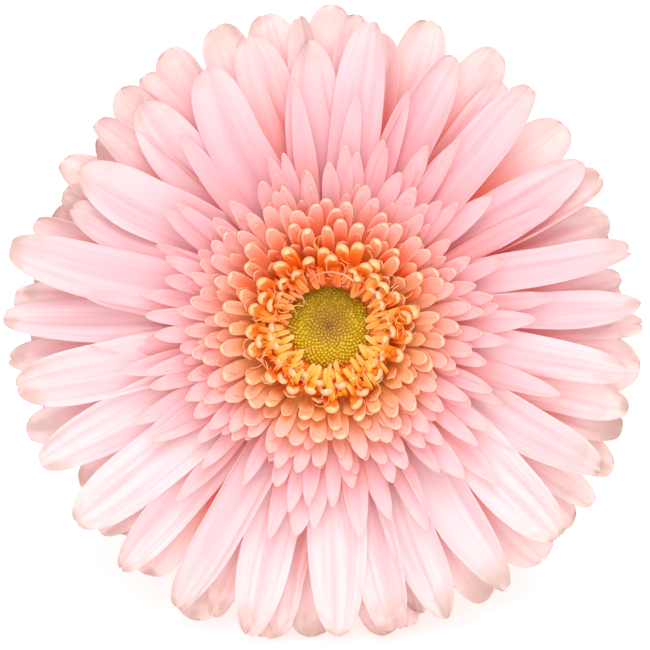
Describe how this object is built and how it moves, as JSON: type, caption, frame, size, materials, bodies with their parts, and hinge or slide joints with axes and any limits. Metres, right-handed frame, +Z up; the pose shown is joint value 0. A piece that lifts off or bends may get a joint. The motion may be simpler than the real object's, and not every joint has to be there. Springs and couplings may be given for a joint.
{
  "type": "cut gerbera",
  "caption": "Cut gerbera with a crested pink head and green stalk, lying on its side with the face turned forward and up.",
  "frame": {"origin": "middle of the footprint, on the surface that the flower lies on", "axes": "+Z up, the stalk runs back along +Y, the face looks along -Y and 22 degrees up, +X to the right seen from the face"},
  "size_m": [0.1154, 0.2466, 0.1066],
  "materials": {
    "ray_petal": "soft satin, pale pink deepening to coral at the claw",
    "crest_petal": "soft satin, coral with pale tips, orange towards the disc",
    "disc_floret": "glossy orange with cream knobs",
    "disc_bud": "waxy olive yellow buds",
    "flesh": "matt pale green",
    "bract": "downy green",
    "scape": "downy green, finely ribbed"
  },
  "bodies": {
    "root": {"scape": "scape", "involucre": "bract", "receptacle": "flesh", "ray_florets_back": "ray_petal", "ray_middle_01": "ray_petal", "ray_middle_02": "ray_petal", "ray_middle_03": "ray_petal", "ray_middle_04": "ray_petal", "ray_middle_05": "ray_petal", "ray_middle_06": "ray_petal", "ray_middle_07": "ray_petal", "ray_middle_08": "ray_petal", "ray_middle_09": "ray_petal", "ray_middle_10": "ray_petal", "ray_middle_11": "ray_petal", "ray_middle_12": "ray_petal", "ray_middle_13": "ray_petal", "ray_middle_14": "ray_petal", "ray_middle_15": "ray_petal", "ray_middle_16": "ray_petal", "ray_middle_17": "ray_petal", "ray_middle_18": "ray_petal", "ray_middle_19": "ray_petal", "ray_middle_20": "ray_petal", "ray_middle_21": "ray_petal", "ray_middle_22": "ray_petal", "ray_front_01": "ray_petal", "ray_front_02": "ray_petal", "ray_front_03": "ray_petal", "ray_front_04": "ray_petal", "ray_front_05": "ray_petal", "ray_front_06": "ray_petal", "ray_front_07": "ray_petal", "ray_front_08": "ray_petal", "ray_front_09": "ray_petal", "ray_front_10": "ray_petal", "ray_front_11": "ray_petal", "ray_front_12": "ray_petal", "ray_front_13": "ray_petal", "ray_front_14": "ray_petal", "ray_front_15": "ray_petal", "ray_front_16": "ray_petal", "ray_front_17": "ray_petal", "ray_front_18": "ray_petal", "ray_front_19": "ray_petal", "ray_front_20": "ray_petal", "ray_front_21": "ray_petal", "ray_front_22": "ray_petal", "ray_front_23": "ray_petal", "ray_front_24": "ray_petal", "ray_front_25": "ray_petal", "ray_front_26": "ray_petal", "trans_florets_outer": "crest_petal", "trans_florets_middle": "crest_petal", "trans_florets_inner": "crest_petal", "disc_florets_open": "disc_floret", "disc_florets_hooked": "disc_floret", "disc_buds": "disc_bud"}
  },
  "joints": []
}
